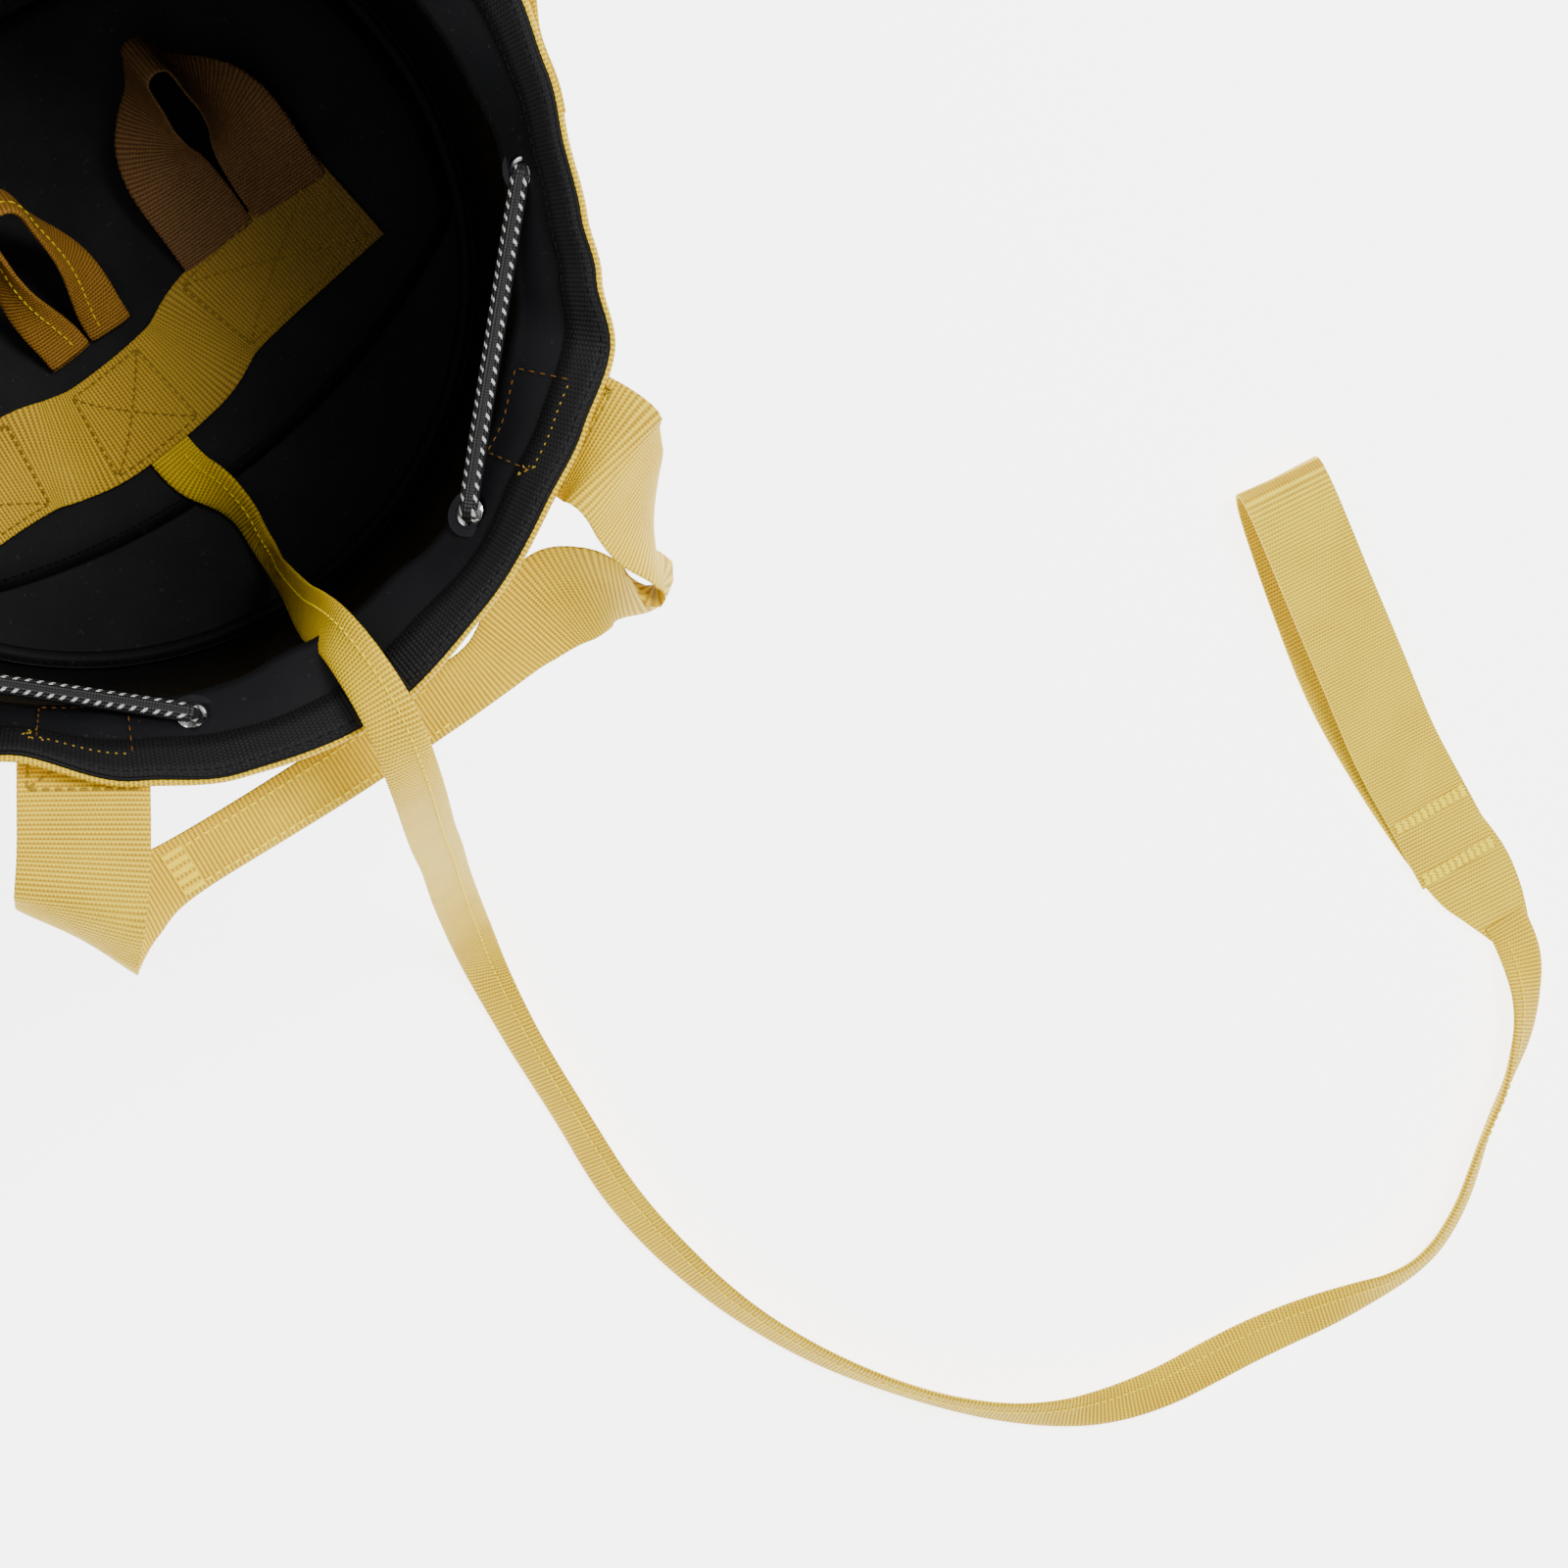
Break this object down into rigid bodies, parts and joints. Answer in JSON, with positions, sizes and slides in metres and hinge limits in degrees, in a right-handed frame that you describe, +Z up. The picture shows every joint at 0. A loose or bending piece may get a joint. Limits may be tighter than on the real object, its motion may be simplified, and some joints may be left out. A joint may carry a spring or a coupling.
{
  "type": "garden tool bag",
  "caption": "Round fabric bucket bag with webbing carry handles, side loops, a bungee laced through eyelets, tool loops inside and a long lanyard with a hand loop.",
  "frame": {"origin": "middle of the base's underside", "axes": "+Z up along the bag's axis, -Y towards the front handle and the lanyard, +X to the right seen from the front"},
  "size_m": [0.4724, 0.758, 0.3081],
  "materials": {
    "coated_fabric": "smooth, slightly glossy coated fabric",
    "board": "matte",
    "yellow_webbing": "ribbed webbing",
    "black_webbing": "ribbed webbing",
    "dark_metal": "dark gunmetal",
    "black_cord": "braided cord with white flecks"
  },
  "bodies": {
    "bag": {"wall_panel": "coated_fabric", "base_panel": "coated_fabric", "base_seam_tape": "coated_fabric", "stiffener_board": "board", "stiffener_cover": "coated_fabric", "rim_webbing": "yellow_webbing", "rim_facing_tape": "black_webbing", "eyelet_barrels": "dark_metal", "eyelet_washers": "dark_metal", "bungee_cord": "black_cord", "bungee_knot": "black_cord", "front_handle_sewn_ends": "yellow_webbing", "front_handle_legs": "yellow_webbing", "back_handle_sewn_ends": "yellow_webbing", "back_handle_legs": "yellow_webbing", "right_side_loop": "yellow_webbing", "left_side_loop": "yellow_webbing", "anchor_band": "yellow_webbing", "right_tool_loop_sewn_ends": "yellow_webbing", "left_tool_loop_sewn_ends": "yellow_webbing", "centre_strap_sewn_part": "yellow_webbing", "lanyard_strap": "yellow_webbing", "lanyard_hand_loop": "yellow_webbing"},
    "front_handle": {"front_handle_grip": "yellow_webbing"},
    "back_handle": {"back_handle_grip": "yellow_webbing"},
    "right_tool_loop": {"right_tool_loop": "yellow_webbing"},
    "left_tool_loop": {"left_tool_loop": "yellow_webbing"},
    "centre_tool_loop": {"centre_tool_loop": "yellow_webbing"}
  },
  "joints": [
    {"name": "front_handle_swing", "type": "hinge", "parent": "bag", "child": "front_handle", "pos_m": [0, -0.125, 0.3], "axis": [-1, 0, 0], "range_deg": [0, 150], "deforming": ["front_handle_legs", "lanyard_strap"]},
    {"name": "back_handle_swing", "type": "hinge", "parent": "bag", "child": "back_handle", "pos_m": [0, 0.125, 0.3], "axis": [1, 0, 0], "range_deg": [0, 150], "deforming": ["back_handle_legs"]},
    {"name": "right_tool_loop_tilt", "type": "hinge", "parent": "bag", "child": "right_tool_loop", "pos_m": [0.059, -0.0232, 0.0051], "axis": [1, 0, 0], "range_deg": [0, 60]},
    {"name": "centre_tool_loop_tilt", "type": "hinge", "parent": "bag", "child": "centre_tool_loop", "pos_m": [-0.011, -0.0225, 0.0058], "axis": [1, 0, 0], "range_deg": [0, 50]},
    {"name": "left_tool_loop_tilt", "type": "hinge", "parent": "bag", "child": "left_tool_loop", "pos_m": [-0.081, -0.0232, 0.0051], "axis": [1, 0, 0], "range_deg": [0, 60]}
  ]
}
